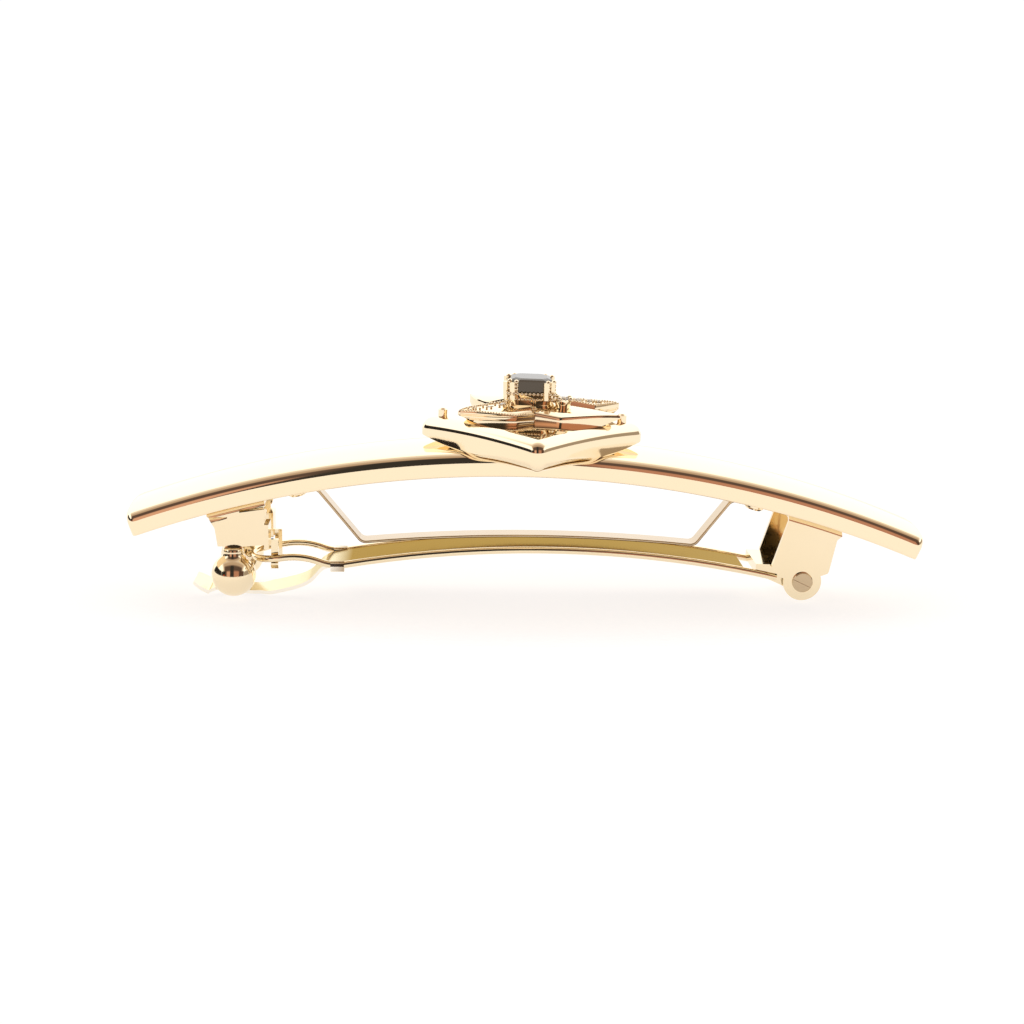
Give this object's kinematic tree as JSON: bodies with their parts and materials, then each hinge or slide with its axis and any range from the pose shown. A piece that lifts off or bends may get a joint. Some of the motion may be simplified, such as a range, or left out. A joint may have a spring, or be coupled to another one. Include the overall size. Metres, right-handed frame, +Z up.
{
  "type": "hair clip",
  "caption": "Arched metal hair clip with a lozenge and jewelled rosette on top and a hinged wire spring clasp with press balls below.",
  "frame": {"origin": "middle of the clip's length and depth, on the level plane that touches its lowest point", "axes": "+X along the bar towards the hinge, +Y towards the back, +Z up to the decorated side"},
  "size_m": [0.0886, 0.0244, 0.0253],
  "materials": {
    "champagne_gold": "polished champagne gold plating on a zinc casting",
    "clasp_gold": "gold plated steel",
    "dark_stone": "dark faceted glass",
    "clear_stone": "clear faceted glass"
  },
  "bodies": {
    "clip": {"bar": "champagne_gold", "pave_leaf_front": "champagne_gold", "pave_leaf_back": "champagne_gold", "plain_leaf_front": "champagne_gold", "plain_leaf_back": "champagne_gold", "pave_stones": "clear_stone", "stone_setting": "champagne_gold", "center_stone": "dark_stone", "accent_cup": "champagne_gold", "accent_crystal": "clear_stone", "corner_beads": "champagne_gold", "base_strip": "clasp_gold", "base_rivets": "clasp_gold", "hinge_bracket": "clasp_gold", "hinge_pin": "clasp_gold", "catch_bracket": "clasp_gold", "tension_strip": "clasp_gold"},
    "arm": {"arm_wire": "clasp_gold", "arm_plate": "clasp_gold", "hinge_knuckle": "clasp_gold"},
    "front_lever": {"front_catch_spring": "clasp_gold", "front_ball": "clasp_gold"},
    "rear_lever": {"rear_catch_spring": "clasp_gold", "rear_ball": "clasp_gold"}
  },
  "joints": [
    {"name": "arm_hinge", "type": "hinge", "parent": "clip", "child": "arm", "pos_m": [0.0309, 0, 0.0026], "axis": [0, -1, 0], "range_deg": [0, 75], "deforming": ["front_catch_spring", "rear_catch_spring"]},
    {"name": "front_release", "type": "hinge", "parent": "clip", "child": "front_lever", "pos_m": [-0.03269, -0.0037, 0.0095], "axis": [1, 0, 0], "range_deg": [0, 4], "stiffness_Nm_per_rad": 0.14, "deforming": ["front_catch_spring"]},
    {"name": "rear_release", "type": "hinge", "parent": "clip", "child": "rear_lever", "pos_m": [-0.03269, 0.0037, 0.0095], "axis": [-1, 0, 0], "range_deg": [0, 4], "stiffness_Nm_per_rad": 0.14, "deforming": ["rear_catch_spring"]}
  ]
}
